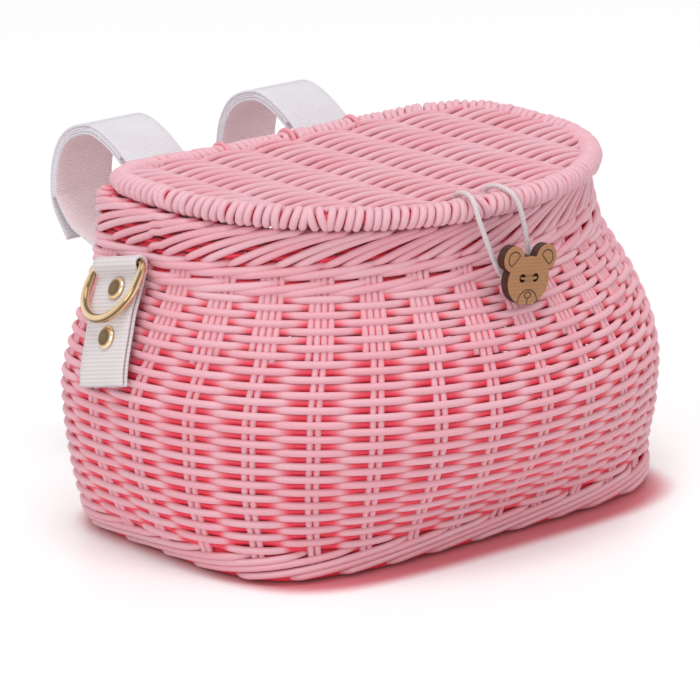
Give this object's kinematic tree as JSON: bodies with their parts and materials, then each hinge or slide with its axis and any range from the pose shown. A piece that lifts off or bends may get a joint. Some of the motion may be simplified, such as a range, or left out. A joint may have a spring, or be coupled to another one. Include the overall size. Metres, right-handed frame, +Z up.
{
  "type": "bicycle basket",
  "caption": "Bellied woven child's bicycle basket with a hinged lid, an elastic over a wooden animal-head button, webbing loops for a handlebar and side tabs with D-rings.",
  "frame": {"origin": "middle of the flat base, on the ground", "axes": "X along the handlebar, left to right seen from the front; Y from front to back, with the straps at +Y; Z up"},
  "size_m": [0.2522, 0.2287, 0.1389],
  "materials": {
    "rattan": "pink plastic rattan, semi-matte",
    "webbing": "white ribbed webbing",
    "hook_tape": "hook and loop tape",
    "gold": "polished light gold plate",
    "elastic": "braided round elastic, greyish lilac",
    "bear_wood": "laser-cut wood, dark edge",
    "thread": "sewing thread"
  },
  "bodies": {
    "basket": {"foot_border": "rattan", "basket_base": "rattan", "basket_wall": "rattan", "rim_border": "rattan", "hinge_loop_1": "rattan", "hinge_loop_2": "rattan", "hinge_loop_3": "rattan", "strap_left": "webbing", "strap_right": "webbing", "loop_tape_left": "hook_tape", "loop_tape_right": "hook_tape", "tab_left": "webbing", "tab_right": "webbing", "rivet_left_upper": "gold", "rivet_left_lower": "gold", "rivet_right_upper": "gold", "rivet_right_lower": "gold", "rivet_back_left_upper": "gold", "rivet_back_left_lower": "gold", "rivet_back_right_upper": "gold", "rivet_back_right_lower": "gold"},
    "lid": {"lid_rim": "rattan", "lid_panel": "rattan", "elastic_loop": "elastic", "elastic_knot_left": "elastic", "elastic_knot_right": "elastic"},
    "flap_left": {"strap_flap_left": "webbing", "hook_tape_left": "hook_tape"},
    "flap_right": {"strap_flap_right": "webbing", "hook_tape_right": "hook_tape"},
    "ring_left": {"d_ring_left": "gold"},
    "ring_right": {"d_ring_right": "gold"},
    "button": {"button": "bear_wood", "button_thread": "thread"}
  },
  "joints": [
    {"name": "lid_hinge", "type": "hinge", "parent": "basket", "child": "lid", "pos_m": [0, 0.05175, 0.13175], "axis": [-1, 0, 0], "range_deg": [0, 100], "deforming": ["elastic_loop"]},
    {"name": "flap_left_peel", "type": "hinge", "parent": "basket", "child": "flap_left", "pos_m": [-0.0422, 0.10518, 0.1382], "axis": [1, 0, 0], "range_deg": [0, 100]},
    {"name": "flap_right_peel", "type": "hinge", "parent": "basket", "child": "flap_right", "pos_m": [0.0422, 0.10518, 0.1382], "axis": [1, 0, 0], "range_deg": [0, 100]},
    {"name": "ring_left_swing", "type": "hinge", "parent": "basket", "child": "ring_left", "pos_m": [-0.10792, 0.02039, 0.109], "axis": [0, 0.9714, -0.2375], "range_deg": [0, 140]},
    {"name": "ring_right_swing", "type": "hinge", "parent": "basket", "child": "ring_right", "pos_m": [0.10792, 0.02039, 0.109], "axis": [0, -0.9714, 0.2375], "range_deg": [0, 140]},
    {"name": "button_swivel", "type": "hinge", "parent": "basket", "child": "button", "pos_m": [0, -0.08602, 0.1066], "axis": [0, -1, 0], "range_deg": [-15, 15]}
  ]
}
